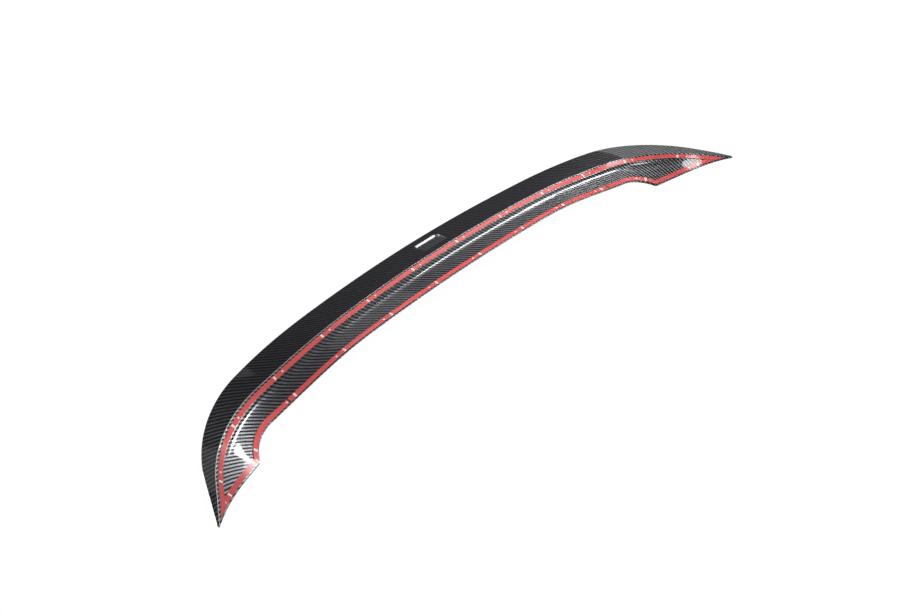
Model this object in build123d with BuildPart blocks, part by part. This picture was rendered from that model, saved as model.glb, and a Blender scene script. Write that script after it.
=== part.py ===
from build123d import *
from math import atan2, cos, radians, sin, tan
import os

# Boot-lid lip spoiler, as it sits on the car: +X to the right, +Y to the front, +Z up
# Lengths are in millimetres and angles in degrees

# Plan of the ridge, the lower rear edge that every section is hung on
half_span = 650.0
bow_radius = 3110.0
bow_angle = 8.0
corner_radius = 268.0
end_angle = 49.4

# Stations are shares of the ridge's half length, 0 in the middle and 1 at a tip
section_count = 49
ridge_lift = 9.4
lift_start = 0.355
lift_top = 0.718
roll_middle = 4.9
roll_end = 28.9
roll_start = 0.317
roll_stop = 0.785

# Lip behind the ridge
lip_length = 49.6
lip_tip_length = 2.5
lip_taper_start = 0.323
lip_taper_power = 1.63
lip_angle = 19.7
lip_edge = 2.0
lip_edge_chamfer = 0.6
lip_kick = 14.0
lip_pull = 0.25
front_pull = 0.4
ridge_round = 1.4

# Underside in front of the ridge: tape seat, step wall and floor
seat_width = 10.5
wall_run = 4.6
wall_height = 5.9
wall_end_height = 0.15
wall_fade_start = 0.59
wall_fade_stop = 0.92
wall_pull = 0.55
valley_run = 8.5
floor_reach = 59.0
floor_end_reach = 55.0
reach_start = 0.2
reach_stop = 0.62
floor_spare = 14.0
skin = 2.4

# Leading edge in plan, measured from the middle of the ridge
front_depth = 54.2
step_x = 483.0
step_y = 80.5
step_round = 80.0
bump_x = 507.0
bump_y = 114.0
bump_round = 10.0
end_hollow = 5.2
tip_round = 2.5
tip_spare = 8.0
trim_margin = 60.0
trim_height = 200.0

# Pocket near the middle of the lip
pocket_x = 15.0
pocket_width = 54.0
pocket_start = 12.0
pocket_stop = 33.0
pocket_depth = 3.1
pocket_slope = 4.5
pocket_side_slope = 1.6
pocket_corner = 4.0

# Double-sided tape and its release liner
tape_width = 8.3
tape_inset = 1.4
bond_gap = 0.25
tape_thickness = 0.8
liner_gap = 0.05
liner_thickness = 0.2
front_margin = 3.0
tape_gap = 0.5
rear_joint = 0.685
front_joint = 0.585
joint_gap = 0.8
strip_sections = 33


def ease(value, start, stop):
    """Smooth rise from 0 at start to 1 at stop."""
    share = min(max((value - start) / (stop - start), 0.0), 1.0)
    return share * share * (3.0 - 2.0 * share)


def blend(first, last, share):
    return first + (last - first) * share


# Ridge in plan: a long bow, a corner bend and a straight run to the tip
bow_run = bow_radius * radians(bow_angle)
bend_run = corner_radius * radians(end_angle - bow_angle)
bend_x = bow_radius * sin(radians(bow_angle))
bend_y = bow_radius * (1.0 - cos(radians(bow_angle)))
straight_x = bend_x + corner_radius * (sin(radians(end_angle)) - sin(radians(bow_angle)))
straight_y = bend_y + corner_radius * (cos(radians(bow_angle)) - cos(radians(end_angle)))
straight_run = (half_span - straight_x) / cos(radians(end_angle))
ridge_run = bow_run + bend_run + straight_run
tip_y = straight_y + straight_run * sin(radians(end_angle))

# The frame's origin lies under the middle of the part
rear_reach = lip_length * cos(radians(lip_angle - roll_middle))
frame_y = (rear_reach - tip_y) / 2.0
stack = bond_gap + tape_thickness + liner_gap + liner_thickness
frame_z = stack * cos(radians(roll_middle)) - tape_inset * sin(radians(roll_middle))


def ridge_plan(station):
    """Place in plan and heading of the ridge on the right half."""
    run = station * ridge_run
    if run < bow_run:
        turn = run / bow_radius
        return bow_radius * sin(turn), bow_radius * (1.0 - cos(turn)), turn
    if run < bow_run + bend_run:
        turn = radians(bow_angle) + (run - bow_run) / corner_radius
        along = bend_x + corner_radius * (sin(turn) - sin(radians(bow_angle)))
        ahead = bend_y + corner_radius * (cos(radians(bow_angle)) - cos(turn))
        return along, ahead, turn
    rest = run - bow_run - bend_run
    turn = radians(end_angle)
    return straight_x + rest * cos(turn), straight_y + rest * sin(turn), turn


def section_plane(signed_station):
    """Plane across the ridge: its x runs forward along the tape seat, its y up."""
    station = abs(signed_station)
    side = -1.0 if signed_station < 0.0 else 1.0
    along, ahead, turn = ridge_plan(station)
    rise = ease(station, lift_start, lift_top) * (1.0 - ease(station, lift_top, 1.0))
    roll = radians(blend(roll_middle, roll_end, ease(station, roll_start, roll_stop)))
    place = (side * along, ahead + frame_y, ridge_lift * rise + frame_z)
    forward = (-side * sin(turn) * cos(roll), cos(turn) * cos(roll), sin(roll))
    return Plane(origin=place, x_dir=forward, z_dir=(cos(turn), side * sin(turn), 0.0))


def section_sizes(signed_station):
    """Lip length, wall height and floor slope at a station."""
    station = abs(signed_station)
    taper = max((station - lip_taper_start) / (1.0 - lip_taper_start), 0.0) ** lip_taper_power
    lip = blend(lip_length, lip_tip_length, taper)
    wall = blend(wall_height, wall_end_height, ease(station, wall_fade_start, wall_fade_stop))
    reach = blend(floor_reach, floor_end_reach, ease(station, reach_start, reach_stop))
    slope = -wall / (reach - seat_width - wall_run)
    return lip, wall, reach, slope


last_station = 1.0 + tip_spare / ridge_run
stations = [last_station * (2.0 * index / (section_count - 1) - 1.0) for index in range(section_count)]
wall_foot = seat_width + wall_run
valley_end = wall_foot + valley_run


front_radius = (step_x**2 + (step_y - front_depth) ** 2) / (2.0 * (step_y - front_depth))


def arc_depth(along):
    """How far ahead of the ridge's middle the leading edge lies, between the steps."""
    return front_depth + front_radius - (front_radius**2 - along**2) ** 0.5


def outline_face(inset):
    """Plan of the part, drawn in from the leading edge and closed well behind the lip."""
    end_turn = radians(end_angle)
    front = Vector(0.0, front_depth + frame_y)
    step = Vector(step_x, step_y + frame_y)
    bump = Vector(bump_x, bump_y + frame_y)
    tip = Vector(half_span, tip_y + frame_y)
    rear = tip + Vector(sin(end_turn), -cos(end_turn)) * trim_margin
    far = Vector(half_span, frame_y - rear_reach - trim_margin)
    chord = tip - bump
    hollow = (bump + tip) * 0.5 + Vector(chord.Y, -chord.X).normalized() * end_hollow
    rounds = {step_x: step_round, bump_x: bump_round, half_span: tip_round}
    with BuildSketch() as plan:
        with BuildLine():
            ThreePointArc(front, Vector(step_x / 2.0, arc_depth(step_x / 2.0) + frame_y), step)
            Line(step, bump)
            ThreePointArc(bump, hollow, tip)
            Polyline(tip, rear, far, (0.0, far.Y))
            mirror(about=Plane.YZ)
        make_face()
        for place, size in rounds.items():
            points = plan.vertices().filter_by(lambda point: abs(abs(point.X) - place) < 0.01)
            fillet(points.filter_by(lambda point: point.Y > far.Y + 1.0), size)
        if inset:
            offset(amount=-inset, mode=Mode.REPLACE)
    return plan.sketch


# The pocket's floor starts level with the lip's underside and sinks towards the trailing edge
pocket_run = pocket_stop - pocket_start
pocket_tilt = atan2(pocket_depth, pocket_run)
lip_turn = radians(lip_angle)
middle_plane = section_plane(0.0)
pocket_deep = Vector(-cos(lip_turn), sin(lip_turn)) * pocket_stop + Vector(sin(lip_turn), cos(lip_turn)) * pocket_depth
pocket_forward = Vector(cos(lip_turn - pocket_tilt), -sin(lip_turn - pocket_tilt))
pocket_plane = Plane(
    origin=middle_plane.from_local_coords(pocket_deep) + Vector(pocket_x, 0.0, 0.0),
    x_dir=(1.0, 0.0, 0.0),
    z_dir=Vector(1.0, 0.0, 0.0).cross(
        middle_plane.from_local_coords(pocket_forward) - middle_plane.from_local_coords(Vector(0.0, 0.0))
    ),
)

# One-piece moulding, lofted through its sections and trimmed to the leading edge
with BuildPart() as shell:
    for station in stations:
        lip, wall, reach, slope = section_sizes(station)
        angle = radians(lip_angle)
        edge_low = Vector(-lip * cos(angle), lip * sin(angle))
        edge_high = edge_low + Vector(sin(angle), cos(angle)) * lip_edge
        front_x = reach + floor_spare
        front_low = Vector(front_x, wall + slope * (front_x - wall_foot))
        front_high = front_low + Vector(0.0, skin)
        valley = Vector(valley_end, wall + slope * valley_run)
        pull = wall_run * wall_pull
        run = front_x - edge_high.X
        kick = tan(radians(lip_kick))
        with BuildSketch(section_plane(station)) as section:
            with BuildLine():
                FilletPolyline(edge_low, (0.0, 0.0), (seat_width, 0.0), radius=ridge_round)
                Bezier((seat_width, 0.0), (seat_width + pull, 0.0), (wall_foot - pull, wall - slope * pull), valley)
                Line(valley, front_low)
                Line(front_low, front_high)
                Bezier(front_high, front_high - Vector(1.0, slope) * run * front_pull,
                       edge_high + Vector(1.0, -kick) * run * lip_pull, edge_high)
                Line(edge_high, edge_low)
            make_face()
            chamfer(section.vertices().sort_by(Axis.X)[:2], lip_edge_chamfer)
    loft()
    with BuildSketch(Plane.XY.offset(-trim_height / 2.0)):
        add(outline_face(0.0))
    extrude(amount=trim_height, mode=Mode.INTERSECT)
    with BuildSketch(pocket_plane) as pocket_floor:
        with Locations((0.0, pocket_run / 2.0)):
            RectangleRounded(pocket_width, pocket_run, pocket_corner)
    with BuildSketch(pocket_plane.offset(-pocket_depth)) as pocket_mouth:
        with Locations((0.0, (pocket_run - pocket_slope) / 2.0)):
            RectangleRounded(pocket_width + 2.0 * pocket_side_slope, pocket_run + pocket_slope, pocket_corner)
    loft(mode=Mode.SUBTRACT)
shell.part.label = "spoiler_shell"
os.makedirs("parts", exist_ok=True)
export_step(shell.part, "parts/spoiler_shell.step")


# Both tape runs in plan: the rear one stops short of the leading edge, the front one follows it
rear_inner = tape_inset + tape_width
front_plan = outline_face(front_margin) - outline_face(front_margin + tape_width)
runs = {
    "rear": (tape_inset, rear_inner, outline_face(front_margin), rear_joint),
    "front": (rear_inner + tape_gap, floor_reach + floor_spare, front_plan, front_joint),
}
layers = {
    "tape": (-bond_gap, -bond_gap - tape_thickness),
    "liner": (liner_thickness - stack, -stack),
}


def strip_slab(run, layer, first, last):
    """Slab of one layer along a run, from one station to another."""
    near, far, plan, joint = runs[run]
    top, bottom = layers[layer]
    with BuildPart() as slab:
        for index in range(strip_sections):
            station = blend(first, last, index / (strip_sections - 1))
            lip, wall, reach, slope = section_sizes(station)
            if run == "rear":
                wall = slope = 0.0
            near_seat = wall + slope * (near - wall_foot)
            far_seat = wall + slope * (far - wall_foot)
            with BuildSketch(section_plane(station)):
                with BuildLine():
                    Polyline((near, near_seat + top), (far, far_seat + top), (far, far_seat + bottom),
                             (near, near_seat + bottom), close=True)
                make_face()
        loft()
    return slab.part


# Each run is laid in three lengths, and the left one mirrors the right one
half_gap = joint_gap / 2.0 / ridge_run
for run, (near, far, plan, joint) in runs.items():
    lengths = {"centre": (half_gap - joint, joint - half_gap), "right": (joint + half_gap, last_station)}
    for layer in layers:
        for side, (first, last) in lengths.items():
            slab = strip_slab(run, layer, first, last)
            with BuildPart() as strip:
                add(slab)
                with BuildSketch(Plane.XY.offset(-trim_height / 2.0)):
                    add(plan)
                extrude(amount=trim_height, mode=Mode.INTERSECT)
            strip.part.label = f"{run}_{layer}_{side}"
            export_step(strip.part, f"parts/{strip.part.label}.step")
            if side == "right":
                left_strip = mirror(strip.part, about=Plane.YZ)
                left_strip.label = f"{run}_{layer}_left"
                export_step(left_strip, f"parts/{left_strip.label}.step")
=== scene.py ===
"""Boot-lid lip spoiler, dressed for a studio picture of its taped underside."""

import math
from typing import NamedTuple

import bpy
import numpy as np
from bpy.props import FloatProperty, FloatVectorProperty, PointerProperty
from mathutils import Matrix, Vector


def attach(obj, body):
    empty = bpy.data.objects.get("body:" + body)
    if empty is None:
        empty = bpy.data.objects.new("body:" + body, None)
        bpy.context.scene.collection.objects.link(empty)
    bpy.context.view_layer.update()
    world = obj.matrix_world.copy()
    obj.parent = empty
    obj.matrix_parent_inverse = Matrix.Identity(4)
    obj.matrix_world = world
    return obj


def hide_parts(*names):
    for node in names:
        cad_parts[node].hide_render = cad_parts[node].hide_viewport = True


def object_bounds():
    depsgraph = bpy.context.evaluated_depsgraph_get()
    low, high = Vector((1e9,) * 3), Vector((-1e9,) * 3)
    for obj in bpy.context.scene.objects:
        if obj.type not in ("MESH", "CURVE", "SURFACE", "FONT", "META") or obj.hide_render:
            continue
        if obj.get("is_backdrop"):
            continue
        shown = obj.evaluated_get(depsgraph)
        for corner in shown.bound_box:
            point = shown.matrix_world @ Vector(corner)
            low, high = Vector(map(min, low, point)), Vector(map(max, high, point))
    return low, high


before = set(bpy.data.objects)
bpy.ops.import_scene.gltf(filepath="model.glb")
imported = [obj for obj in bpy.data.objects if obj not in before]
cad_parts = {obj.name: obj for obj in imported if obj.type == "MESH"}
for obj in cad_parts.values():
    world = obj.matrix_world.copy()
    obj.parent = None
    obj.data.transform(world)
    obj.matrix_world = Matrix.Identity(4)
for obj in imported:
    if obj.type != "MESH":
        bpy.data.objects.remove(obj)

bl_info = {
    "name": "Lip Spoiler",
    "version": (1, 0, 0),
    "blender": (4, 5, 0),
    "location": "3D View > Sidebar > Spoiler",
    "description": "Builds the woven shell, tape liners and studio of a boot-lid lip spoiler",
    "category": "Object",
}

SIDES = ("left", "centre", "right")
BLACK = (0.0, 0.0, 0.0, 1.0)
MIDDLE = (0.0, 0.0, 0.0)

# Rows of a shell section, from the trailing edge forward under the part and back over its top.
BAND_ROWS = 46
RIDGE_ROWS = 7
SEAT_ROWS = 3
WALL_ROWS = 25
FLOOR_ROWS = 11
TOP_ROWS = 40
ROUND_ROWS = 5
CURVE_STEPS = 400

# Columns of the shell: even along the span, and closer together where its form changes fast.
SPAN_COLUMNS = 380
POCKET_COLUMNS = 84
POCKET_REACH = 0.6
BUMP_COLUMNS = 130
BUMP_STATIONS = (0.60, 0.84)
TIP_COLUMNS = 24
TIP_STEPS = (0.02, 0.0002)
STATION_DIGITS = 7
LAST_STATION = 0.9999
CLOSED_STATION = 0.99999

# Columns of the tape runs, and how many of them smooth the front run's direction.
REAR_COLUMNS = {"left": 110, "centre": 260, "right": 110}
REAR_END = 0.995
FRONT_SPACING = {"left": 0.0006, "centre": 0.0015, "right": 0.0006}
FRONT_SMOOTHING = {"left": 31, "centre": 13, "right": 31}
STRIP_ROWS = 8
FOOT_SAMPLES = 4000
FOOT_END = 1.02

# Sizes in metres that keep thin ends from closing up or folding over.
TIP_ROUND = 0.0025
LEAST_LIP = 0.0001
LEAST_FLOOR = 0.0003
LEAST_REAR_STRIP = 0.0002
LEAST_FRONT_STRIP = 0.0003
CHANNEL_ROOM = 0.002

# Edge distance where a section plane meets no edge, and the reach of the weld, in metres.
FAR_AHEAD = 0.2
WELD = 2e-6

# Longest share of a step that a round takes, slopes between which resin shows, and the sharpest smooth edge.
ROUND_SHARE = 0.8
RESIN_SLOPES = (0.25, 0.5)
SMOOTH_ANGLE = math.radians(40.0)

# Small values that keep divisions from zero.
TINY = 1e-9
HAIR = 1e-12

# Swing and slant of the liner's pleats, as angles of their wave.
PLEAT_SWING = 2.4
PLEAT_SLANT = 1.4

# Weave: tows in one repeat, how many of them a tow passes over, and how its edges darken.
TWILL_REPEAT = 4.0
TWILL_OVER = 2.0
CROWN_POWER = 3.0
CROWN_FALL = 5.0

# Foam: how fine its grain is, and how dark the grain gets.
FOAM_GRAIN = 900.0
FOAM_SHADE = 0.8


def length(name, description, default):
    return FloatProperty(name=name, description=description, default=default, unit="LENGTH", precision=4)


def angle(name, description, degrees):
    return FloatProperty(name=name, description=description, default=math.radians(degrees), subtype="ANGLE")


def share(name, description, default):
    return FloatProperty(
        name=name, description=description, default=default, min=0.0, max=1.0, subtype="FACTOR"
    )


def number(name, description, default):
    return FloatProperty(name=name, description=description, default=default)


def colour(name, description, default):
    return FloatVectorProperty(name=name, description=description, default=default, size=3, subtype="COLOR")


class SpoilerSize(bpy.types.PropertyGroup):
    """Sizes of the moulding; stations are shares of the ridge's half length."""

    half_span: length("Half span", "Middle of the ridge to its tip", 0.650)
    bow_radius: length("Bow radius", "Plan radius of the long middle run", 3.110)
    bow_angle: angle("Bow angle", "Heading where the corner bend starts", 8.0)
    corner_radius: length("Corner radius", "Plan radius of the corner bend", 0.268)
    end_angle: angle("End angle", "Heading of the straight run to the tip", 49.4)
    ridge_lift: length("Ridge lift", "Rise of the ridge at the corners", 0.0094)
    lift_start: share("Lift start", "Station where the ridge starts to rise", 0.355)
    lift_top: share("Lift top", "Station where the ridge is highest", 0.718)
    ridge_height: length("Ridge height", "Middle of the ridge above the ground", 0.00118)
    roll_middle: angle("Middle roll", "Roll of the section in the middle", 4.9)
    roll_end: angle("End roll", "Roll of the section at the tips", 28.9)
    roll_start: share("Roll start", "Station where the roll starts to grow", 0.317)
    roll_stop: share("Roll stop", "Station where the roll is full", 0.785)
    lip_length: length("Lip length", "Ridge to trailing edge in the middle", 0.0496)
    lip_tip_length: length("Lip tip length", "Ridge to trailing edge at the tips", 0.0025)
    lip_taper_start: share("Lip taper start", "Station where the lip starts to narrow", 0.323)
    lip_taper_power: number("Lip taper power", "Shape of the lip's taper", 1.63)
    lip_angle: angle("Lip angle", "Rise of the lip's underside behind the ridge", 19.7)
    lip_edge: length("Lip edge", "Thickness of the trailing edge", 0.002)
    lip_kick: angle("Lip kick", "Slope of the top skin at the trailing edge", 14.0)
    lip_pull: share("Lip pull", "Reach of the top skin's curve at the lip", 0.25)
    front_pull: share("Front pull", "Reach of the top skin's curve at the front", 0.4)
    ridge_round: length("Ridge round", "Radius along the ridge", 0.0014)
    edge_round: length("Edge round", "Softening of the outer edges", 0.0006)
    seat_width: length("Seat width", "Flat for the rear tape", 0.0105)
    wall_run: length("Wall run", "Plan width of the step wall", 0.0046)
    wall_height: length("Wall height", "Depth of the channel in the middle", 0.0059)
    wall_end_height: length("Wall end height", "Depth of the channel at the tips", 0.00015)
    wall_fade_start: share("Wall fade start", "Station where the wall starts to fade", 0.59)
    wall_fade_stop: share("Wall fade stop", "Station where the wall has faded", 0.92)
    wall_pull: share("Wall pull", "Softness of the wall's S curve", 0.55)
    valley_run: length("Valley run", "Run-out of the wall's foot into the floor", 0.0085)
    floor_reach: length("Floor reach", "Ridge to the floor's line of zero height", 0.059)
    floor_end_reach: length("Floor end reach", "The same near the tips", 0.055)
    reach_start: share("Reach start", "Station where the reach starts to change", 0.2)
    reach_stop: share("Reach stop", "Station where the reach has changed", 0.62)
    floor_spare: length("Floor spare", "Section length beyond the reach", 0.014)
    skin: length("Skin", "Thickness of the leading edge", 0.0024)
    front_depth: length("Front depth", "Ridge to leading edge in the middle", 0.0542)
    step_x: length("Step place", "Step in the leading edge, from the middle", 0.483)
    step_y: length("Step depth", "Step in the leading edge, ahead of the ridge", 0.0805)
    step_round: length("Step round", "Radius at the step", 0.080)
    bump_x: length("Bump place", "Bump in the leading edge, from the middle", 0.507)
    bump_y: length("Bump depth", "Bump in the leading edge, ahead of the ridge", 0.114)
    bump_round: length("Bump round", "Radius at the bump", 0.010)
    end_hollow: length("End hollow", "Hollow of the leading edge from bump to tip", 0.0052)
    pocket_x: length("Pocket place", "Middle of the pocket along the span", 0.015)
    pocket_width: length("Pocket width", "Pocket along the span", 0.054)
    pocket_start: length("Pocket start", "Shallow end, from the ridge", 0.012)
    pocket_stop: length("Pocket stop", "Deep end, from the ridge", 0.033)
    pocket_depth: length("Pocket depth", "Depth at the deep end", 0.0031)
    pocket_slope: length("Pocket wall", "Run of the wall at the deep end", 0.0045)
    pocket_side_slope: length("Pocket side wall", "Run of the side walls", 0.0016)
    pocket_corner: length("Pocket corner", "Radius of the pocket's corners", 0.004)


class TapeSize(bpy.types.PropertyGroup):
    """Sizes of the tape runs and their release liners."""

    width: length("Tape width", "Width of both tape runs", 0.007)
    inset: length("Rear inset", "Rear tape's distance from the ridge", 0.0033)
    margin: length("Front margin", "Front tape's distance from the leading edge", 0.0018)
    gap: length("Tape gap", "Space between the runs at the tips", 0.0005)
    bond: length("Bond line", "Seat to the foam", 0.00025)
    foam: length("Foam thickness", "Thickness of the foam", 0.0008)
    liner: length("Liner thickness", "Thickness of the release liner, with its fit on the foam", 0.00025)
    rear_joint: share("Rear joint", "Station where the rear run is joined", 0.685)
    front_joint: share("Front joint", "Station where the front run is joined", 0.585)
    joint_gap: length("Joint gap", "Space at a joint", 0.0004)
    mark_pitch: length("Mark pitch", "Distance between the printed ticks", 0.1115)
    rear_print: length("Rear print", "Shift of the rear run's print", -0.0135)
    front_print: length("Front print", "Shift of the front run's print, which runs the other way", 0.0832)
    bar_place: length("Bar place", "Middle of a printed bar in its pitch", 0.030)
    bar_half: length("Bar half length", "Half of the bar, along the tape", 0.0018)
    bar_reach: share("Bar reach", "Half of the bar across the tape, as a share of the tape's width", 0.40)
    dot_place: length("Dot place", "Middle of a printed dot in its pitch", 0.048)
    dot_half: length("Dot half length", "Half of the dot, along the tape", 0.0015)
    dot_reach: share("Dot reach", "Half of the dot across the tape, as a share of the tape's width", 0.18)
    pleat_place: length("Pleat place", "Middle of the pleats along the edge, from the bump", -0.026)
    pleat_reach: length("Pleat reach", "How far the pleats go to each side of their middle", 0.044)
    pleat_pitch: length("Pleat pitch", "Distance from one pleat to the next", 0.0046)
    pleat_drift: length("Pleat drift", "Length over which the pitch widens and narrows", 0.033)
    pleat_height: length("Pleat height", "Half of a pleat's height", 0.0003)
    fold_place: length("Fold place", "The one sharp fold along the edge, from the bump", -0.036)
    fold_width: length("Fold width", "Half width of the sharp fold", 0.0028)
    fold_height: length("Fold height", "Height of the sharp fold", 0.0009)
    fold_slant: length("Fold slant", "How far the sharp fold leans across the tape", 0.004)


class FinishColours(bpy.types.PropertyGroup):
    """Colours of the finishes and the studio, and sizes of the weave."""

    # The twill is the cloth's own pattern, but the bright span tows and nearly black cross tows are painted
    # sheen and painted shade, standing in for the tows' directional reflection.
    lit_span_tow: colour("Span tow", "Tows along the span", (0.24, 0.245, 0.25))
    shaded_cross_tow: colour("Cross tow", "Tows across the span", (0.008, 0.008, 0.009))
    # Painted highlight: the ridge colour is a pale line that stands for light caught by the ridge's round;
    # the next two sizes give its half width and where it runs out to the right of the middle.
    ridge: colour("Ridge", "Resin line along the ridge", (0.50, 0.45, 0.38))
    ridge_highlight_width: number("Ridge line width", "Half width of the resin line, in tows", 0.17)
    ridge_highlight_end: length("Ridge line end", "Where the resin line runs out to the right of the middle", 0.43)
    resin: colour("Resin", "Resin-rich walls of the pocket", (0.06, 0.06, 0.065))
    # Painted shade: the cloth under the lip is darkened by this share, standing in for the shade that falls
    # there; the pocket floor is left out.
    lip_painted_shade: share("Lip shade", "How much darker the cloth under the lip is", 0.65)
    tow_width: length("Tow width", "Width of one tow of the cloth", 0.002)
    liner: colour("Liner", "Release liner film", (0.50, 0.075, 0.073))
    mark: colour("Mark", "Printed ticks on the liner", (0.74, 0.62, 0.60))
    foam: colour("Foam", "Foam of the tape", (0.55, 0.55, 0.52))
    ground: colour("Ground", "Floor and table of the studio", (0.90, 0.90, 0.90))
    air: colour("Air", "Soft light from all round", (0.150, 0.147, 0.172))
    backdrop: colour("Backdrop", "What the camera sees beyond the ground", (0.93, 0.93, 0.93))


def ease(value, start, stop):
    """Smooth rise from 0 at start to 1 at stop."""
    part = np.clip((value - start) / (stop - start), 0.0, 1.0)
    return part * part * (3.0 - 2.0 * part)


def blend(first, last, part):
    return first + (last - first) * part


def bezier(points, steps):
    """Points of a cubic curve whose four corner arrays are given."""
    t = steps[:, None]
    a, b, c, d = points
    return (1 - t) ** 3 * a + 3 * t * (1 - t) ** 2 * b + 3 * t * t * (1 - t) * c + t**3 * d


class Form:
    """The spoiler's form, worked out from the sizes in the panel."""

    def __init__(self, size, tape):
        self.size, self.tape = size, tape
        bow, end = size.bow_angle, size.end_angle
        self.bow_run = size.bow_radius * bow
        self.bend_run = size.corner_radius * (end - bow)
        straight_x = size.bow_radius * math.sin(bow) + size.corner_radius * (math.sin(end) - math.sin(bow))
        self.straight_run = (size.half_span - straight_x) / math.cos(end)
        self.ridge_run = self.bow_run + self.bend_run + self.straight_run
        self.wall_foot = size.seat_width + size.wall_run
        self.valley_end = self.wall_foot + size.valley_run
        self.frame_y = 0.0
        tip_y = self.ridge(np.array([1.0]))[1][0]
        rear_reach = size.lip_length * math.cos(size.lip_angle - size.roll_middle)
        self.frame_y = (rear_reach - tip_y) / 2.0
        self.frame_z = size.ridge_height
        self.tip = np.array([size.half_span, tip_y + self.frame_y])

    def ridge(self, station):
        """Place in plan and heading of the ridge, for stations on the right half."""
        size = self.size
        run = np.abs(station) * self.ridge_run
        bow = np.minimum(run, self.bow_run) / size.bow_radius
        turn = bow + np.clip(run - self.bow_run, 0.0, self.bend_run) / size.corner_radius
        rest = np.maximum(run - self.bow_run - self.bend_run, 0.0)
        along = size.bow_radius * np.sin(bow) + size.corner_radius * (np.sin(turn) - np.sin(bow))
        ahead = size.bow_radius * (1.0 - np.cos(bow)) + size.corner_radius * (np.cos(bow) - np.cos(turn))
        along = along + rest * math.cos(size.end_angle)
        return along, ahead + rest * math.sin(size.end_angle) + self.frame_y, turn

    def axes(self, station):
        """Origin, forward and up directions of the section planes, and their roll."""
        size = self.size
        apart = np.abs(station)
        side = np.where(station < 0.0, -1.0, 1.0)
        along, ahead, turn = self.ridge(station)
        rise = ease(apart, size.lift_start, size.lift_top) * (1.0 - ease(apart, size.lift_top, 1.0))
        roll = blend(size.roll_middle, size.roll_end, ease(apart, size.roll_start, size.roll_stop))
        origin = np.stack([side * along, ahead, size.ridge_lift * rise + self.frame_z], -1)
        level = np.cos(roll)
        forward = np.stack([-side * np.sin(turn) * level, np.cos(turn) * level, np.sin(roll)], -1)
        along_span = np.stack([np.cos(turn), side * np.sin(turn), np.zeros_like(turn)], -1)
        return origin, forward, np.cross(along_span, forward), roll

    def section(self, station):
        """Lip length, wall height, floor reach and floor slope."""
        size = self.size
        apart = np.abs(station)
        taper = np.clip((apart - size.lip_taper_start) / (1.0 - size.lip_taper_start), 0.0, 1.0)
        lip = blend(size.lip_length, size.lip_tip_length, taper**size.lip_taper_power)
        fade = ease(apart, size.wall_fade_start, size.wall_fade_stop)
        wall = blend(size.wall_height, size.wall_end_height, fade)
        reach = blend(size.floor_reach, size.floor_end_reach, ease(apart, size.reach_start, size.reach_stop))
        return lip, wall, reach, -wall / (reach - self.wall_foot)

    def leading_edge(self, steps=60):
        """Plan of the leading edge from the middle to the right tip, with its corners rounded."""
        size = self.size
        shift = np.array([0.0, self.frame_y])
        step = np.array([size.step_x, size.step_y]) + shift
        bump = np.array([size.bump_x, size.bump_y]) + shift
        rise = size.step_y - size.front_depth
        radius = (size.step_x**2 + rise**2) / (2.0 * rise)
        x = np.linspace(0.0, size.step_x, 4 * steps)
        front = np.stack([x, size.front_depth + radius - np.sqrt(radius**2 - x**2)], -1) + shift
        chord = self.tip - bump
        inward = np.array([chord[1], -chord[0]]) / np.linalg.norm(chord)
        t = np.linspace(0.0, 1.0, 4 * steps)[:, None]
        end = blend(bump, self.tip, t) + inward * size.end_hollow * 4.0 * t * (1.0 - t)
        first = rounded(front[-2], step, bump, size.step_round, steps)
        second = rounded(step, bump, end[1], size.bump_round, steps // 3)
        front = front[front[:, 0] < first[0, 0]]
        end = end[np.linalg.norm(end - bump, axis=1) > np.linalg.norm(second[-1] - bump)]
        return np.concatenate([front, first, second, end])

    def edge_ahead(self, station, inset=0.0):
        """Plan distance from the ridge forward to the leading edge, drawn in by inset."""
        edge = self.leading_edge()
        if inset:
            edge = edge + inward_normals(edge) * inset
        edge = np.concatenate([edge[1:][::-1] * [-1.0, 1.0], edge])
        along, ahead, turn = self.ridge(station)
        found = []
        for x, y, heading in zip(np.sign(station) * along, ahead, np.sign(station) * turn):
            away = edge - [x, y]
            across = away @ [math.cos(heading), math.sin(heading)]
            front = away @ [-math.sin(heading), math.cos(heading)]
            hit = np.nonzero(across[:-1] * across[1:] <= 0.0)[0]
            part = across[hit] / (across[hit] - across[hit + 1] + HAIR)
            found.append(np.min(blend(front[hit], front[hit + 1], part), initial=FAR_AHEAD))
        return np.array(found)

    def floor_x(self, station, ahead):
        """Section coordinate of the floor's point that lies so far ahead of the ridge in plan."""
        _, wall, _, slope = self.section(station)
        roll = self.axes(station)[3]
        drop = (wall - slope * self.wall_foot) * np.sin(roll)
        return (ahead + drop) / (np.cos(roll) - slope * np.sin(roll))

    def place(self, station, x, y):
        """World points of section coordinates; x and y hold one row for each station."""
        origin, forward, up, _ = self.axes(station)
        return origin[:, None] + forward[:, None] * x[..., None] + up[:, None] * y[..., None]


def rounded(before, corner, after, radius, steps):
    """Arc of the given radius that rounds a corner between two neighbours."""
    first = (before - corner) / np.linalg.norm(before - corner)
    last = (after - corner) / np.linalg.norm(after - corner)
    half = 0.5 * math.acos(float(np.clip(first @ last, -1.0, 1.0)))
    middle = (first + last) / np.linalg.norm(first + last)
    centre = corner + middle * radius / math.sin(half)
    begin = corner + first * radius / math.tan(half) - centre
    turn = (math.pi - 2.0 * half) * math.copysign(1.0, first[1] * last[0] - first[0] * last[1])
    angles = np.linspace(0.0, turn, steps)
    cos, sin = np.cos(angles), np.sin(angles)
    return centre + np.stack([cos * begin[0] - sin * begin[1], sin * begin[0] + cos * begin[1]], -1)


def inward_normals(line):
    """Unit normals on the right-hand side of a plan line."""
    run = np.gradient(line, axis=0)
    run /= np.linalg.norm(run, axis=1)[:, None]
    return np.stack([run[:, 1], -run[:, 0]], -1)


def deselect():
    if bpy.context.object and bpy.context.object.mode != "OBJECT":
        bpy.ops.object.mode_set(mode="OBJECT")
    bpy.ops.object.select_all(action="DESELECT")


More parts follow.
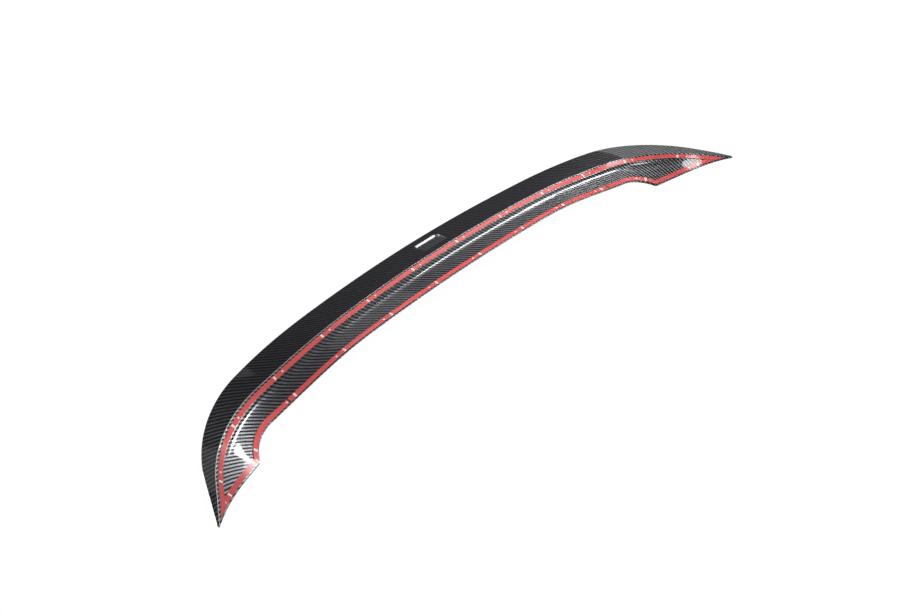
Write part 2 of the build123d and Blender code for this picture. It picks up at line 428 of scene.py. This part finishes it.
def lay_grid(name, points, uv, paints=None):
    """Adds a grid, lays its columns and rows on the given points, welds its seams and smooths it."""
    columns, rows = points.shape[:2]
    deselect()
    bpy.ops.mesh.primitive_grid_add(x_subdivisions=columns - 1, y_subdivisions=rows - 1, size=2.0)
    piece = bpy.context.object
    piece.name = piece.data.name = name
    mesh = piece.data
    flat = np.empty(len(mesh.vertices) * 3, np.float32)
    mesh.vertices.foreach_get("co", flat)
    flat = (flat.reshape(-1, 3) + 1.0) / 2.0
    column = np.rint(flat[:, 0] * (columns - 1)).astype(int)
    row = np.rint(flat[:, 1] * (rows - 1)).astype(int)
    mesh.vertices.foreach_set("co", points[column, row].astype(np.float32).ravel())
    corner = np.empty(len(mesh.loops), np.int32)
    mesh.loops.foreach_get("vertex_index", corner)
    layer = mesh.uv_layers.active or mesh.uv_layers.new()
    layer.name = "cloth"
    layer.data.foreach_set("uv", uv[column[corner], row[corner]].astype(np.float32).ravel())
    for layer_name, values in (paints or {}).items():
        paint = mesh.attributes.new(layer_name, "FLOAT", "POINT")
        paint.data.foreach_set("value", values[column, row].astype(np.float32))
    mesh.update()
    bpy.ops.object.mode_set(mode="EDIT")
    bpy.ops.mesh.select_all(action="SELECT")
    bpy.ops.mesh.remove_doubles(threshold=WELD)
    bpy.ops.mesh.normals_make_consistent(inside=False)
    bpy.ops.object.mode_set(mode="OBJECT")
    bpy.ops.object.shade_smooth_by_angle(angle=SMOOTH_ANGLE)
    return piece


def soften(points, at, size):
    """Replaces the row at a sharp corner by the rows of a small round."""
    corner = points[:, at]

    def toward(neighbour):
        step = neighbour - corner
        reach = np.minimum(size / (np.linalg.norm(step, axis=-1) + TINY), ROUND_SHARE)
        return corner + step * reach[:, None]

    first = toward(points[:, at - 1])
    last = toward(points[:, at + 1])
    bend = []
    for t in np.linspace(0.0, 1.0, ROUND_ROWS):
        bend.append((1 - t) ** 2 * first + 2 * t * (1 - t) * corner + t * t * last)
    return np.concatenate([points[:, :at], np.stack(bend, 1), points[:, at + 1 :]], 1)


def pocket_cut(form, along, back):
    """Depth of the pocket under the lip, from the place along the span and the distance behind the ridge."""
    size = form.size
    down = (back - size.pocket_start) / (size.pocket_stop - size.pocket_start)
    floor = size.pocket_depth * np.clip(down, 0.0, 1.0)
    aside = np.abs(along - size.pocket_x) - size.pocket_width / 2.0 + size.pocket_corner
    side = np.maximum(aside, 0.0)
    deep = np.maximum(back - size.pocket_stop + size.pocket_corner, 0.0)
    out = np.hypot(side, deep) - size.pocket_corner
    lean = side / (side + deep + TINY)
    wall = np.maximum(out, 0.0) / blend(size.pocket_slope, size.pocket_side_slope, lean)
    return np.maximum(floor - size.pocket_depth * wall, 0.0)


def shell_stations(form):
    """Stations of the shell's columns, closer together at the pocket, the bumps and the tips."""
    size = form.size
    across_pocket = np.linspace(-POCKET_REACH, POCKET_REACH, POCKET_COLUMNS)
    pocket = (size.pocket_x + across_pocket * size.pocket_width) / form.ridge_run
    bump = np.linspace(*BUMP_STATIONS, BUMP_COLUMNS)
    tip = 1.0 - np.geomspace(*TIP_STEPS, TIP_COLUMNS)
    base = np.linspace(-1.0, 1.0, SPAN_COLUMNS)
    stations = np.concatenate([base, pocket, bump, -bump, tip, -tip])
    return np.unique(np.round(stations, STATION_DIGITS))


def wall_rows(form, wall, slope):
    """Rows of the step wall's S curve and its run-out, for each wall's height and floor slope."""
    size = form.size
    pull = size.wall_run * size.wall_pull
    steps = np.linspace(0.0, 1.0, WALL_ROWS + 1)[1:]
    rows = []
    for height, lean in zip(wall, slope):
        corners = [
            (size.seat_width, 0.0),
            (size.seat_width + pull, 0.0),
            (form.wall_foot - pull, height - lean * pull),
            (form.valley_end, height + lean * size.valley_run),
        ]
        rows.append(bezier([np.array(corner) for corner in corners], steps))
    return np.array(rows)


def top_rows(form, station, low, edge_high):
    """Rows of the top skin, from above the leading edge's low corner back to the trailing edge."""
    size = form.size
    _, wall, reach, slope = form.section(station)
    front_x = reach + size.floor_spare
    top_front = np.stack([front_x, wall + slope * (front_x - form.wall_foot) + size.skin], -1)
    run = (front_x - edge_high[:, 0])[:, None]
    lean_front = np.stack([np.ones_like(slope), slope], -1) * run * size.front_pull
    lean_back = np.array([1.0, -math.tan(size.lip_kick)]) * run * size.lip_pull
    steps = np.linspace(0.0, 1.0, CURVE_STEPS)
    rows = []
    for column, roll in enumerate(form.axes(station)[3]):
        corners = [top_front[column], top_front[column] - lean_front[column]]
        corners += [edge_high[column] + lean_back[column], edge_high[column]]
        dense = bezier(corners, steps)
        plan = dense[:, 0] * math.cos(roll) - dense[:, 1] * math.sin(roll)
        low_plan = low[column, 0] * math.cos(roll) - low[column, 1] * math.sin(roll)
        start = np.interp(-low_plan, -plan, steps)
        rows.append(bezier(corners, np.linspace(start, 1.0, TOP_ROWS)))
    return np.array(rows)


def shell_points(form):
    """Columns of section points, their cloth coordinates, and paint for the pocket and its walls."""
    size = form.size
    station = shell_stations(form)
    along = station * form.ridge_run
    lip, wall, _, slope = form.section(station)
    to_tip = (1.0 - np.abs(station)) * form.ridge_run
    lip = lip * np.sqrt(np.clip(to_tip / TIP_ROUND, 0.0, 1.0))
    ahead = form.edge_ahead(np.clip(station, -LAST_STATION, LAST_STATION))
    front = np.maximum(form.floor_x(station, ahead), LEAST_FLOOR)
    squeeze = np.minimum(1.0, front / (form.valley_end + CHANNEL_ROOM))[:, None, None]
    turn = size.lip_angle
    tangent = size.ridge_round * math.tan(turn / 2.0)
    back_way = np.array([-math.cos(turn), math.sin(turn)])
    inside = np.array([math.sin(turn), math.cos(turn)])

    lip_run = np.maximum(lip - tangent, LEAST_LIP)[:, None]
    back = np.linspace(1.0, 0.0, BAND_ROWS)[None] * lip_run + tangent
    cut = pocket_cut(form, along[:, None], back)
    band = back[..., None] * back_way + cut[..., None] * inside
    spin = np.linspace(turn, 0.0, RIDGE_ROWS + 1)[1:]
    ridge_x = tangent - size.ridge_round * np.sin(spin)
    ridge = np.stack([ridge_x, size.ridge_round * (1.0 - np.cos(spin))], -1)
    seat_x = np.linspace(tangent, size.seat_width, SEAT_ROWS + 1)[1:]
    seat = np.stack([seat_x, np.zeros(SEAT_ROWS)], -1)
    ridge_seat = np.concatenate([ridge, seat])[None] * squeeze
    walls = wall_rows(form, wall, slope) * squeeze
    low = np.stack([front, wall + slope * (front - form.wall_foot)], -1)
    floor_steps = np.linspace(0.0, 1.0, FLOOR_ROWS + 1)[None, 1:, None]
    floor = blend(walls[:, -1:], low[:, None], floor_steps)
    edge_low = lip[:, None] * back_way
    edge_high = edge_low + inside * size.lip_edge
    top = top_rows(form, station, low, edge_high)
    rows = np.concatenate([band, ridge_seat, walls, floor, top, edge_low[:, None]], 1)

    nose = BAND_ROWS + RIDGE_ROWS + SEAT_ROWS + WALL_ROWS + FLOOR_ROWS - 1
    rows = soften(rows, nose, size.edge_round)
    rows = soften(rows, nose + ROUND_ROWS, size.edge_round)
    rows = soften(rows, rows.shape[1] - 2, size.edge_round)
    closing = np.abs(station) > CLOSED_STATION
    rows[closing] = rows[closing].mean(1, keepdims=True)

    step_lengths = np.linalg.norm(np.diff(rows, axis=1), axis=-1)
    girth = np.concatenate([np.zeros((len(station), 1)), np.cumsum(step_lengths, 1)], 1)
    girth -= girth[:, BAND_ROWS : BAND_ROWS + 1]
    uv = np.stack([np.broadcast_to(along[:, None], girth.shape), girth], -1)
    back_slope = np.gradient(cut, axis=1) / np.gradient(back, axis=1)
    steep = np.hypot(back_slope, np.gradient(cut, along, axis=0))
    paints = {"resin": np.zeros(girth.shape), "pocket": np.zeros(girth.shape)}
    paints["resin"][:, :BAND_ROWS] = ease(steep, *RESIN_SLOPES)
    # The pocket paint keeps the lip's painted shade off the pocket floor.
    paints["pocket"][:, :BAND_ROWS] = cut > 0.0
    return form.place(station, rows[..., 0], rows[..., 1]), uv, paints


def strip_rows(near, far, top, bottom):
    """Closed rows round a flat strip: across its outside, back over its inside."""
    there, back = np.linspace(0.0, 1.0, STRIP_ROWS), np.linspace(1.0, 0.0, STRIP_ROWS)
    across = np.concatenate([there, back, [0.0]])
    outside = np.concatenate([np.ones(STRIP_ROWS), np.zeros(STRIP_ROWS), [1.0]])
    x = blend(near[:, None], far[:, None], across[None])
    y = blend(top, bottom, outside)[None] + np.zeros_like(x)
    return x, y, across


def cloth_map(along, across):
    """Cloth coordinates of a strip's columns and rows."""
    shape = (len(along), len(across))
    return np.stack([np.broadcast_to(along[:, None], shape), np.broadcast_to(across, shape)], -1)


def layer_depths(tape, layer):
    """Inner and outer depth of a tape layer under its seat."""
    foam_end = tape.bond + tape.foam
    return {"foam": (tape.bond, foam_end), "film": (foam_end, foam_end + tape.liner)}[layer]


def rear_strip(form, side, layer):
    """Points and cloth coordinates of one length of a layer of the rear tape; left is made like right."""
    tape = form.tape
    inner, outer = layer_depths(tape, layer)
    half_gap = tape.joint_gap / 2.0 / form.ridge_run
    joint = tape.rear_joint
    if side == "centre":
        first, last = half_gap - joint, joint - half_gap
    else:
        first, last = joint + half_gap, REAR_END
    station = np.linspace(first, last, REAR_COLUMNS[side])
    limit = form.floor_x(station, form.edge_ahead(station, tape.margin))
    far = np.clip(np.minimum(tape.inset + tape.width, limit), tape.inset, None)
    keep = far > tape.inset + LEAST_REAR_STRIP
    station, far = station[keep], far[keep]
    near = np.full_like(far, tape.inset)
    x, y, across = strip_rows(near, far, -inner, -outer)
    return form.place(station, x, y), cloth_map(station * form.ridge_run, across)


def foot_station(form, plan):
    """Stations whose section planes hold the plan points, and the points' distance ahead of the ridge."""
    sample = np.linspace(0.0, FOOT_END, FOOT_SAMPLES)
    along, ahead, turn = form.ridge(sample)
    found = [np.argmin((along - x) ** 2 + (ahead - y) ** 2) for x, y in plan]
    away = plan - np.stack([along[found], ahead[found]], -1)
    return sample[found], away[:, 1] * np.cos(turn[found]) - away[:, 0] * np.sin(turn[found])


def pleats(tape, run, across):
    """Height of the small folds where the film is gathered round a corner."""
    window = np.exp(-(((run - tape.pleat_place) / tape.pleat_reach) ** 4))
    swing = PLEAT_SWING * np.sin(2.0 * math.pi * run / tape.pleat_drift)
    wave = np.sin(2.0 * math.pi * run / tape.pleat_pitch + swing + PLEAT_SLANT * across)
    from_fold = run - tape.fold_place + tape.fold_slant * across
    fold = np.exp(-((from_fold / tape.fold_width) ** 2))
    return window * tape.pleat_height * (1.0 + wave) + tape.fold_height * fold


def even_line(line, spacing):
    """Distances along a plan line at even spacing, and the line's points there."""
    lengths = np.linalg.norm(np.diff(line, axis=0), axis=1)
    reached = np.concatenate([[0.0], np.cumsum(lengths)])
    run = np.arange(0.0, reached[-1], spacing)
    return run, np.stack([np.interp(run, reached, line[:, k]) for k in (0, 1)], -1)


def smooth_normals(line, width):
    """Inward normals of a plan line, averaged over so many of its points."""
    kernel = np.hanning(width + 2)[1:-1]
    padded = np.pad(inward_normals(line), ((width // 2, width // 2), (0, 0)), mode="edge")
    smooth = [np.convolve(padded[:, k], kernel / kernel.sum(), mode="valid") for k in (0, 1)]
    normals = np.stack(smooth, -1)
    return normals / np.linalg.norm(normals, axis=1)[:, None]


def front_strip(form, side, layer):
    """Points and cloth coordinates of one length of a layer of the front tape; left is made like right."""
    tape, size = form.tape, form.size
    inner, outer = layer_depths(tape, layer)
    run, line = even_line(form.leading_edge(), FRONT_SPACING[side])
    normals = smooth_normals(line, FRONT_SMOOTHING[side])
    half_gap = tape.joint_gap / 2.0 / form.ridge_run
    station = foot_station(form, line + normals * (tape.margin + tape.width / 2.0))[0]
    if side == "centre":
        wanted = station < tape.front_joint - half_gap
    else:
        wanted = station > tape.front_joint + half_gap
    run, line, normals = run[wanted], line[wanted], normals[wanted]
    to_bump = np.hypot(line[:, 0] - size.bump_x, line[:, 1] - size.bump_y - form.frame_y)
    bump_run = run[np.argmin(to_bump)]
    if side == "centre":
        run = np.concatenate([-run[:0:-1], run])
        line = np.concatenate([line[:0:-1] * [-1.0, 1.0], line])
        normals = np.concatenate([normals[:0:-1] * [-1.0, 1.0], normals])
    _, y, across = strip_rows(np.zeros(len(run)), np.ones(len(run)), -inner, -outer)
    inner_limit = tape.inset + tape.width + tape.gap
    rows = []
    for k, share_in in enumerate(across):
        plan = line + normals * (tape.margin + tape.width * share_in)
        station, ahead = foot_station(form, np.stack([np.abs(plan[:, 0]), plan[:, 1]], -1))
        section_x = form.floor_x(station, ahead)
        if k == 0:
            keep = section_x > inner_limit + LEAST_FRONT_STRIP
        section_x = np.maximum(section_x, inner_limit)
        _, wall, _, slope = form.section(station)
        height = wall + slope * (section_x - form.wall_foot) + y[:, k]
        if layer == "film" and side == "right":
            height = height - pleats(tape, run - bump_run, share_in)
        signed = np.where(plan[:, 0] < 0.0, -station, station)
        rows.append(form.place(signed, section_x[:, None], height[:, None])[:, 0])
    return np.stack(rows, 1)[keep], cloth_map(run, across)[keep]


def mirrored(points, uv):
    return points * [-1.0, 1.0, 1.0], uv * [-1.0, 1.0]


# Sockets of a mix node that mixes colours: its factor and two colours, and its result.
MIX_SOCKETS = (0, 6, 7)
MIX_RESULT = 2


class Nodes:
    """Shorthand for the nodes of one material."""

    def __init__(self, name):
        self.material = bpy.data.materials.new(name)
        self.material.use_nodes = True
        self.tree = self.material.node_tree
        self.tree.nodes.clear()
        self.output = self.tree.nodes.new("ShaderNodeOutputMaterial")

    def add(self, kind, **values):
        node = self.tree.nodes.new(kind)
        for key, value in values.items():
            setattr(node, key, value)
        return node

    def link(self, source, target):
        self.tree.links.new(source, target)

    def feed(self, socket, value):
        """Links an output to a socket, or sets the socket to a constant."""
        if isinstance(value, bpy.types.NodeSocket):
            self.link(value, socket)
        else:
            socket.default_value = value

    def math(self, operation, first, second=None):
        node = self.add("ShaderNodeMath", operation=operation)
        self.feed(node.inputs[0], first)
        if second is not None:
            self.feed(node.inputs[1], second)
        return node.outputs[0]

    def mix(self, factor, first, second):
        node = self.add("ShaderNodeMix", data_type="RGBA")
        for at, value in zip(MIX_SOCKETS, (factor, first, second)):
            self.feed(node.inputs[at], value)
        return node.outputs[MIX_RESULT]

    def cloth(self):
        """The piece's own cloth coordinates: metres along, and metres or a share of a tape's width across."""
        node = self.add("ShaderNodeUVMap", uv_map="cloth")
        split = self.add("ShaderNodeSeparateXYZ")
        self.link(node.outputs["UV"], split.inputs[0])
        return split.outputs[0], split.outputs[1]

    def paint(self, name):
        """A value that is painted on the piece's points."""
        return self.add("ShaderNodeAttribute", attribute_name=name).outputs["Fac"]

    def surface(self, **sockets):
        """Principled surface with constant sockets set and the others linked."""
        shader = self.add("ShaderNodeBsdfPrincipled")
        for key, value in sockets.items():
            self.feed(shader.inputs[key.replace("_", " ")], value)
        self.link(shader.outputs[0], self.output.inputs[0])
        return self.material


def opaque(rgb):
    return (*rgb, 1.0)


def woven_carbon(finish):
    """Clear-coated two-by-two twill: each tow passes over two and under two."""
    nodes = Nodes("woven_carbon")
    along, across = nodes.cloth()
    # Painted highlight along the ridge: only on the part of the span left of where it runs out.
    highlighted_span = nodes.math("LESS_THAN", along, finish.ridge_highlight_end)
    along = nodes.math("DIVIDE", along, finish.tow_width)
    across = nodes.math("DIVIDE", across, finish.tow_width)
    step = nodes.math("SUBTRACT", nodes.math("FLOOR", along), nodes.math("FLOOR", across))
    repeat = nodes.math("FLOORED_MODULO", step, TWILL_REPEAT)
    on_top = nodes.math("LESS_THAN", repeat, TWILL_OVER - 0.5)

    def crown(place):
        """Shade that falls off toward both edges of a tow."""
        offset = nodes.math("ABSOLUTE", nodes.math("SUBTRACT", nodes.math("FRACT", place), 0.5))
        fall = nodes.math("MULTIPLY", nodes.math("POWER", offset, CROWN_POWER), CROWN_FALL)
        return nodes.math("SUBTRACT", 1.0, fall)

    # Painted sheen on the span tows and painted shade on the cross tows.
    span = nodes.mix(crown(across), BLACK, opaque(finish.lit_span_tow))
    cross = nodes.mix(crown(along), BLACK, opaque(finish.shaded_cross_tow))
    # Painted shade: the cloth under the lip, outside the pocket, is mixed toward black.
    shaded_lip_area = nodes.math("SUBTRACT", nodes.math("LESS_THAN", across, 0.0), nodes.paint("pocket"))
    lip = nodes.math("MULTIPLY", nodes.math("MAXIMUM", shaded_lip_area, 0.0), finish.lip_painted_shade)
    weave = nodes.mix(lip, nodes.mix(on_top, cross, span), BLACK)
    # Painted highlight: a pale non-metal line on the ridge's round, in place of the light it would catch.
    near_ridge = nodes.math("LESS_THAN", nodes.math("ABSOLUTE", across), finish.ridge_highlight_width)
    ridge = nodes.math("MULTIPLY", highlighted_span, near_ridge)
    resin = nodes.paint("resin")
    base = nodes.mix(ridge, nodes.mix(resin, weave, opaque(finish.resin)), opaque(finish.ridge))
    metal = nodes.math("SUBTRACT", 1.0, nodes.math("MAXIMUM", ridge, resin))
    return nodes.surface(
        Base_Color=base, Metallic=metal, Roughness=0.45, Coat_Weight=1.0, Coat_Roughness=0.03
    )


def liner_film(finish, tape):
    """Smooth red film with plain printed ticks: a bar across it and a dot."""
    nodes = Nodes("liner_film")
    along, across = nodes.cloth()
    place = nodes.math("FLOORED_MODULO", along, tape.mark_pitch)
    middle = nodes.math("ABSOLUTE", nodes.math("SUBTRACT", across, 0.5))

    def tick(centre, half_length, reach):
        offset = nodes.math("ABSOLUTE", nodes.math("SUBTRACT", place, centre))
        inside = nodes.math("LESS_THAN", offset, half_length)
        return nodes.math("MULTIPLY", inside, nodes.math("LESS_THAN", middle, reach))

    bar = tick(tape.bar_place, tape.bar_half, tape.bar_reach)
    dot = tick(tape.dot_place, tape.dot_half, tape.dot_reach)
    base = nodes.mix(nodes.math("MAXIMUM", bar, dot), opaque(finish.liner), opaque(finish.mark))
    return nodes.surface(Base_Color=base, Roughness=0.12)


def foam(finish):
    """Matt closed-cell foam."""
    nodes = Nodes("tape_foam")
    grain = nodes.add("ShaderNodeTexNoise")
    grain.inputs["Scale"].default_value = FOAM_GRAIN
    place = nodes.add("ShaderNodeTexCoord")
    nodes.link(place.outputs["Object"], grain.inputs["Vector"])
    dark = tuple(FOAM_SHADE * part for part in finish.foam)
    base = nodes.mix(grain.outputs[0], opaque(dark), opaque(finish.foam))
    return nodes.surface(Base_Color=base, Roughness=0.85)


def dress(piece, material):
    """Gives a piece its finish and lets it ride on the one body."""
    piece.data.materials.clear()
    piece.data.materials.append(material)
    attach(piece, "root")


class SPOILER_OT_shell(bpy.types.Operator):
    """Lay the woven shell over its sections"""

    bl_idname = "spoiler.shell"
    bl_label = "Woven shell"

    def execute(self, context):
        scene = context.scene
        form = Form(scene.spoiler_size, scene.spoiler_tape)
        shell = lay_grid("woven_shell", *shell_points(form))
        dress(shell, woven_carbon(scene.spoiler_finish))
        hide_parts("spoiler_shell")
        return {"FINISHED"}


def lay_tapes(scene, layer, material, node):
    """Lays one layer along all lengths of both tape runs."""
    tape = scene.spoiler_tape
    form = Form(scene.spoiler_size, tape)
    runs = {"rear": (rear_strip, 1.0, tape.rear_print), "front": (front_strip, -1.0, tape.front_print)}
    for run, (strip, print_way, print_shift) in runs.items():
        for side in SIDES:
            points, uv = strip(form, side, layer)
            if side == "left":
                points, uv = mirrored(points, uv)
            piece = lay_grid(f"{run}_{layer}_{side}", points, uv * [print_way, 1.0] + [print_shift, 0.0])
            dress(piece, material)
            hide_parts(f"{run}_{node}_{side}")


class SPOILER_OT_foam(bpy.types.Operator):
    """Lay the foam of both tape runs on its seats"""

    bl_idname = "spoiler.foam"
    bl_label = "Tape foam"

    def execute(self, context):
        scene = context.scene
        lay_tapes(scene, "foam", foam(scene.spoiler_finish), "tape")
        return {"FINISHED"}


class SPOILER_OT_liners(bpy.types.Operator):
    """Lay the red release liners along both tape runs"""

    bl_idname = "spoiler.liners"
    bl_label = "Release liners"

    def execute(self, context):
        scene = context.scene
        material = liner_film(scene.spoiler_finish, scene.spoiler_tape)
        lay_tapes(scene, "film", material, "liner")
        return {"FINISHED"}


# Ground of the studio: its shade, its glow and the side of its square planes.
GROUND_SHADE = 0.04
GROUND_GLOW = 1.08
GROUND_SIZE = 40.0

# Wide sheets of light above and below, which the clear coat doesn't mirror.
SHEET_DISTANCE = 3.0
SHEET_SIZE = 6.0
SHEET_RADIANCE = 1.3

# Spread in degrees of a panel without a grid.
OPEN_SPREAD = 180.0

# The photograph's camera: its place and axes, and its lens in millimetres.
CAMERA_PLACE = (-1.5453, 0.9334, -1.4165)
CAMERA_RIGHT = (0.61995447, 0.76796285, -0.16090219)
CAMERA_UP = (0.42544125, -0.50130843, -0.75345179)
LENS_LENGTH = 56.67
SENSOR_WIDTH = 36.0


class Card(NamedTuple):
    """A light panel: its place, the point it faces, its size, its brightness and its spread in degrees."""

    name: str
    place: tuple
    aim: tuple
    size: tuple
    radiance: float
    spread: float = OPEN_SPREAD


CARDS = (
    # The white stripe along the channel's wall, from the middle to the right end.
    Card("valley_window", (0.9, -0.09, -0.87), (0.0, -0.09, -0.87), (0.22, 0.46), 18.0),
    Card("middle_card", (0.6, -0.015, -0.325), (0.26, -0.06, 0.005), (0.23, 0.105), 18.0, 44.0),
    Card("bend_card", (0.6, 0.048, -0.20), (0.335, -0.05, 0.005), (0.095, 0.08), 18.0, 40.0),
    Card("end_card", (0.6, 0.083, -0.125), (0.41, -0.024, 0.01), (0.065, 0.036), 34.0, 34.0),
    # The stripe and the bright patch of the left end.
    Card("left_card", (-0.3, 0.064, -0.0615), (-0.49, 0.02, 0.01), (0.075, 0.050), 30.0, 38.0),
    Card("left_line_card", (-0.3, 0.09, -0.075), (-0.47, 0.005, 0.01), (0.06, 0.05), 36.0, 30.0),
    # The paler lip, the patch and the pleats of the right end.
    Card("corner_card", (0.60, 0.45, -0.30), (0.51, 0.03, 0.01), (0.09, 0.46), 16.0, 40.0),
    Card("tip_card", (0.597, 0.084, -0.09), (0.597, 0.0839, 0.0), (0.028, 0.026), 14.0, 70.0),
    Card("pleat_card", (0.545, 0.015, -0.21), (0.470, 0.03, 0.03), (0.07, 0.06), 14.0, 34.0),
    # The white wall of the pocket.
    Card("pocket_card", (-0.385, -0.725, -0.575), (0.03, -0.09, 0.0), (0.5, 0.5), 40.0, 30.0),
    # Dim panels that lift the weave of the floor, the wall and the lip.
    Card("floor_panel", (0.36, -0.49, -0.66), (-0.21, -0.02, 0.0), (0.40, 0.30), 0.4),
    Card("wall_panel", (1.35, 1.30, -0.70), (0.0, -0.05, 0.0), (1.6, 0.7), 0.8),
    Card("band_panel", (1.9, -0.55, -1.9), (0.0, -0.55, -1.9), (1.0, 1.3), 1.4),
    # The top side.
    Card("top_window", (-0.8, -1.2, 2.2), MIDDLE, (2.0, 1.4), 4.5),
    Card("top_fill", (1.4, 1.6, 1.8), MIDDLE, (1.6, 1.2), 4.0),
)


def one_sided_ground(finish):
    """Pale ground with an even glow of its own, which is seen from its front only."""
    nodes = Nodes("studio_ground")
    base = opaque([GROUND_SHADE * part for part in finish.ground])
    glow = opaque(finish.ground)
    material = nodes.surface(
        Base_Color=base, Roughness=0.9, Emission_Color=glow, Emission_Strength=GROUND_GLOW
    )
    shader = nodes.tree.nodes["Principled BSDF"]
    clear = nodes.add("ShaderNodeBsdfTransparent")
    mix = nodes.add("ShaderNodeMixShader")
    nodes.link(nodes.add("ShaderNodeNewGeometry").outputs["Backfacing"], mix.inputs[0])
    nodes.link(shader.outputs[0], mix.inputs[1])
    nodes.link(clear.outputs[0], mix.inputs[2])
    nodes.link(mix.outputs[0], nodes.output.inputs[0])
    return material


def ground(name, height, facing, material):
    """Wide plane at a height that faces up or down and leaves the part's own light alone."""
    deselect()
    bpy.ops.mesh.primitive_plane_add(size=GROUND_SIZE)
    plane = bpy.context.object
    plane.name = plane.data.name = name
    bpy.ops.object.mode_set(mode="EDIT")
    bpy.ops.mesh.select_all(action="SELECT")
    bpy.ops.transform.translate(value=(0.0, 0.0, height))
    if facing < 0.0:
        bpy.ops.mesh.flip_normals()
    bpy.ops.object.mode_set(mode="OBJECT")
    plane.data.materials.append(material)
    plane.visible_shadow = plane.visible_glossy = plane.visible_diffuse = False
    plane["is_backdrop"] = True


def softbox(card):
    """Adds a card's light panel; a spread under a half turn works like a grid in front of it."""
    panel = bpy.data.lights.new(card.name, "AREA")
    panel.shape = "RECTANGLE"
    panel.size, panel.size_y = card.size
    panel.spread = math.radians(card.spread)
    half = panel.spread / 2.0
    gain = math.tan(half) / (math.tan(half) - half) if card.spread < OPEN_SPREAD else 1.0
    panel.energy = card.radiance * math.pi * card.size[0] * card.size[1] / gain
    lamp = bpy.data.objects.new(card.name, panel)
    bpy.context.collection.objects.link(lamp)
    lamp.location = card.place
    lamp.rotation_euler = (Vector(card.aim) - Vector(card.place)).to_track_quat("-Z", "Y").to_euler()
    lamp.visible_camera = False
    return lamp


def studio_air(finish):
    """World that lights the part softly from all round and is a pale backdrop to the camera."""
    world = bpy.data.worlds.new("studio_air")
    world.use_nodes = True
    tree = world.node_tree
    air = tree.nodes["Background"]
    air.inputs["Color"].default_value = opaque(finish.air)
    seen = tree.nodes.new("ShaderNodeBackground")
    seen.inputs["Color"].default_value = opaque(finish.backdrop)
    ray = tree.nodes.new("ShaderNodeLightPath")
    mix = tree.nodes.new("ShaderNodeMixShader")
    tree.links.new(ray.outputs["Is Camera Ray"], mix.inputs[0])
    tree.links.new(air.outputs[0], mix.inputs[1])
    tree.links.new(seen.outputs[0], mix.inputs[2])
    tree.links.new(mix.outputs[0], tree.nodes["World Output"].inputs[0])
    return world


def photo_camera():
    """Camera at the photograph's angle."""
    lens = bpy.data.cameras.new("photo_camera")
    lens.sensor_width = SENSOR_WIDTH
    lens.lens = LENS_LENGTH
    camera = bpy.data.objects.new("photo_camera", lens)
    bpy.context.collection.objects.link(camera)
    right, up = Vector(CAMERA_RIGHT), Vector(CAMERA_UP)
    turn = Matrix((right, up, right.cross(up))).transposed()
    camera.matrix_world = Matrix.Translation(CAMERA_PLACE) @ turn.to_4x4()
    return camera


class SPOILER_OT_studio(bpy.types.Operator):
    """Set the pale ground, the soft light and the camera"""

    bl_idname = "spoiler.studio"
    bl_label = "Studio"

    def execute(self, context):
        scene = context.scene
        finish = scene.spoiler_finish
        low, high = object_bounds()
        pale = one_sided_ground(finish)
        ground("floor", low.z, 1.0, pale)
        ground("table", high.z, -1.0, pale)
        for card in CARDS:
            softbox(card)
        for name, height in (("table_sheet", -SHEET_DISTANCE), ("floor_sheet", SHEET_DISTANCE)):
            sheet = Card(name, (0.0, 0.0, height), MIDDLE, (SHEET_SIZE, SHEET_SIZE), SHEET_RADIANCE)
            softbox(sheet).visible_glossy = False
        scene.world = studio_air(finish)
        scene.view_settings.view_transform = "Standard"
        scene.camera = photo_camera()
        return {"FINISHED"}


class SPOILER_PT_panel(bpy.types.Panel):
    """Steps that build the spoiler's picture"""

    bl_idname = "SPOILER_PT_panel"
    bl_label = "Lip Spoiler"
    bl_space_type = "VIEW_3D"
    bl_region_type = "UI"
    bl_category = "Spoiler"

    def draw(self, context):
        for step in STEPS:
            self.layout.operator(step.bl_idname)
        for group in GROUPS:
            settings = getattr(context.scene, group)
            for name in settings.__annotations__:
                self.layout.prop(settings, name)


GROUPS = {"spoiler_size": SpoilerSize, "spoiler_tape": TapeSize, "spoiler_finish": FinishColours}
STEPS = (SPOILER_OT_shell, SPOILER_OT_foam, SPOILER_OT_liners, SPOILER_OT_studio)


def register():
    for kind in (*GROUPS.values(), *STEPS, SPOILER_PT_panel):
        bpy.utils.register_class(kind)
    for name, kind in GROUPS.items():
        setattr(bpy.types.Scene, name, PointerProperty(type=kind))


def unregister():
    for name in GROUPS:
        delattr(bpy.types.Scene, name)
    for kind in reversed((*GROUPS.values(), *STEPS, SPOILER_PT_panel)):
        bpy.utils.unregister_class(kind)


def main():
    register()
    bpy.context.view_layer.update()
    bpy.ops.spoiler.shell()
    bpy.ops.spoiler.foam()
    bpy.ops.spoiler.liners()
    bpy.ops.spoiler.studio()


if __name__ == "__main__":
    main()
